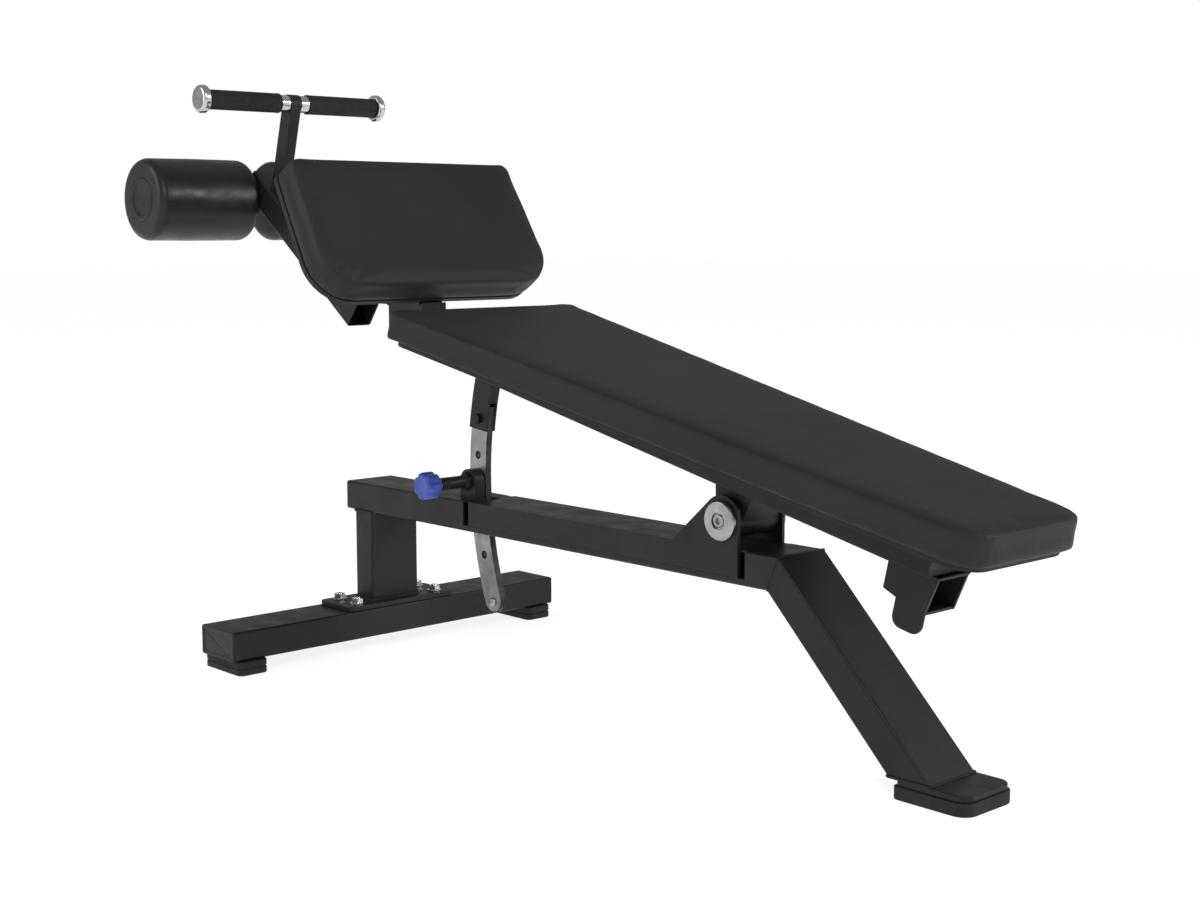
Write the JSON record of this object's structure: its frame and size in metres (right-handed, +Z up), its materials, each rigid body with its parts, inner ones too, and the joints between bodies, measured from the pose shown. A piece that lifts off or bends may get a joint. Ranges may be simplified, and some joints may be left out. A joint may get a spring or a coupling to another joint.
{
  "type": "adjustable decline bench",
  "caption": "Adjustable decline bench: tapered tilting pad, knee pad, foam shin rollers and a T-handle on a welded steel frame, locked by a pop pin in a drilled arc.",
  "frame": {"origin": "on the floor, under the middle of the bench's bounding box", "axes": "+X along the bench, from the rollers to the low end of the board; +Y across it, away from the pop pin's side; +Z up"},
  "size_m": [1.8464, 0.7, 0.9921],
  "materials": {
    "black_paint": "satin black powder coat with a fine orange-peel",
    "black_plastic": "moulded black plastic, satin",
    "rubber": "black rubber, matt",
    "chrome": "bright chrome plate",
    "steel": "turned and zinc-plated steel",
    "bronze": "plain bronze bush",
    "plywood": "plywood, stained black",
    "leatherette": "black leatherette with a fine grain, satin",
    "foam_skin": "smooth black skin over moulded foam, satin",
    "blue_plastic": "blue moulded plastic, satin gloss"
  },
  "bodies": {
    "frame": {"crossbar": "black_paint", "crossbar_cap_near": "black_plastic", "crossbar_cap_far": "black_plastic", "rubber_foot_near": "rubber", "rubber_foot_far": "rubber", "base_plate": "black_paint", "base_bolt_1": "chrome", "base_bolt_2": "chrome", "base_bolt_3": "chrome", "base_bolt_4": "chrome", "post": "black_paint", "beam": "black_paint", "beam_cap": "black_plastic", "side_plate_near": "black_paint", "side_plate_far": "black_paint", "leg": "black_paint", "leg_foot_plate": "black_paint", "leg_shoe": "rubber", "pin_housing": "black_paint", "pin_barrel": "black_paint", "pivot_shaft": "steel", "pivot_cap_near": "chrome", "pivot_cap_far": "chrome"},
    "bench": {"pivot_barrel": "black_paint", "pivot_bush_near": "bronze", "pivot_bush_far": "bronze", "board_tube": "black_paint", "board_tube_cap": "black_plastic", "board_base": "plywood", "board_pad": "leatherette", "lift_bracket": "black_paint", "arc_plate": "chrome", "arc_clevis": "black_paint", "arc_bolt": "black_paint", "arc_stop": "steel", "seat_stub": "black_paint", "neck_post": "black_paint", "neck_bridge": "black_paint", "support_tube": "black_paint", "knee_pad_plate": "black_paint", "knee_pad_board": "plywood", "knee_pad": "leatherette", "axle_sleeve": "black_paint", "roller_axle": "steel", "handle_post": "black_paint", "handle_bar": "chrome", "grip_near": "rubber", "grip_far": "rubber", "grip_collar_near": "chrome", "grip_collar_far": "chrome", "handle_cap_near": "chrome", "handle_cap_far": "chrome"},
    "roller_near": {"roller_foam_near": "foam_skin", "roller_core_near": "black_plastic", "roller_cap_near": "black_plastic"},
    "roller_far": {"roller_foam_far": "foam_skin", "roller_core_far": "black_plastic", "roller_cap_far": "black_plastic"},
    "pop_pin": {"pop_pin": "steel", "pop_knob": "blue_plastic"}
  },
  "joints": [
    {"name": "bench_tilt", "type": "hinge", "parent": "frame", "child": "bench", "pos_m": [0.43794, 0, 0.329], "axis": [0, 1, 0], "range_deg": [-4.03, 12.07]},
    {"name": "roller_near_spin", "type": "hinge", "parent": "bench", "child": "roller_near", "pos_m": [-0.84806, 0, 0.7907], "axis": [0, 1, 0], "continuous": true},
    {"name": "roller_far_spin", "type": "hinge", "parent": "bench", "child": "roller_far", "pos_m": [-0.84806, 0, 0.7907], "axis": [0, 1, 0], "continuous": true},
    {"name": "pop_pin_pull", "type": "slide", "parent": "frame", "child": "pop_pin", "axis": [0, -1, 0], "range_m": [0, 0.014], "stiffness_N_per_m": 700, "springref_m": -0.01}
  ]
}
